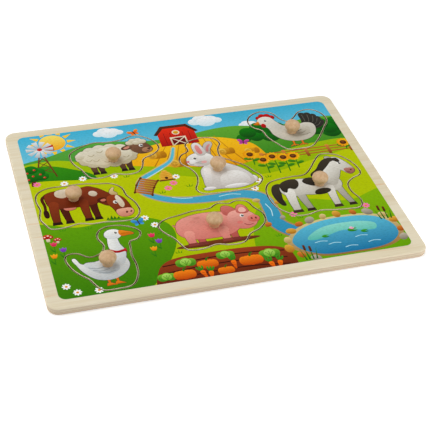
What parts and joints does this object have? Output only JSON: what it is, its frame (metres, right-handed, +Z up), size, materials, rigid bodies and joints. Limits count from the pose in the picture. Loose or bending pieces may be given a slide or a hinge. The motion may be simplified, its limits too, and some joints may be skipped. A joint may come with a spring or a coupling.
{
  "type": "farm animal puzzle",
  "caption": "Flat wooden farm puzzle: animal pieces with turned knobs lift straight out of matching recesses in a printed board.",
  "frame": {"origin": "centre of the board's underside, on the surface that it lies on", "axes": "+X along the board's long side to the picture's right, +Y to the top of the picture, +Z up out of the printed face"},
  "size_m": [0.3, 0.23, 0.0177],
  "materials": {
    "bare_wood": "sanded pale plywood",
    "printed_farm": "printed and varnished plywood",
    "sheep_print": "printed and varnished plywood",
    "cow_print": "printed and varnished plywood",
    "goose_print": "printed and varnished plywood",
    "pig_print": "printed and varnished plywood",
    "rabbit_print": "printed and varnished plywood",
    "pony_print": "printed and varnished plywood",
    "hen_print": "printed and varnished plywood",
    "turned_beech": "turned and sanded beech",
    "zinc_screw": "zinc plated steel"
  },
  "bodies": {
    "board": {"backing_panel": "bare_wood", "face_panel": "printed_farm"},
    "sheep": {"sheep_piece": "sheep_print", "sheep_knob": "turned_beech", "sheep_knob_screw": "zinc_screw"},
    "cow": {"cow_piece": "cow_print", "cow_knob": "turned_beech", "cow_knob_screw": "zinc_screw"},
    "goose": {"goose_piece": "goose_print", "goose_knob": "turned_beech", "goose_knob_screw": "zinc_screw"},
    "pig": {"pig_piece": "pig_print", "pig_knob": "turned_beech", "pig_knob_screw": "zinc_screw"},
    "rabbit": {"rabbit_piece": "rabbit_print", "rabbit_knob": "turned_beech", "rabbit_knob_screw": "zinc_screw"},
    "pony": {"pony_piece": "pony_print", "pony_knob": "turned_beech", "pony_knob_screw": "zinc_screw"},
    "hen": {"hen_piece": "hen_print", "hen_knob": "turned_beech", "hen_knob_screw": "zinc_screw"}
  },
  "joints": [
    {"name": "sheep_lift", "type": "slide", "parent": "board", "child": "sheep", "axis": [0, 0, 1], "range_m": [0, 0.03]},
    {"name": "cow_lift", "type": "slide", "parent": "board", "child": "cow", "axis": [0, 0, 1], "range_m": [0, 0.03]},
    {"name": "goose_lift", "type": "slide", "parent": "board", "child": "goose", "axis": [0, 0, 1], "range_m": [0, 0.03]},
    {"name": "pig_lift", "type": "slide", "parent": "board", "child": "pig", "axis": [0, 0, 1], "range_m": [0, 0.03]},
    {"name": "rabbit_lift", "type": "slide", "parent": "board", "child": "rabbit", "axis": [0, 0, 1], "range_m": [0, 0.03]},
    {"name": "pony_lift", "type": "slide", "parent": "board", "child": "pony", "axis": [0, 0, 1], "range_m": [0, 0.03]},
    {"name": "hen_lift", "type": "slide", "parent": "board", "child": "hen", "axis": [0, 0, 1], "range_m": [0, 0.03]}
  ]
}
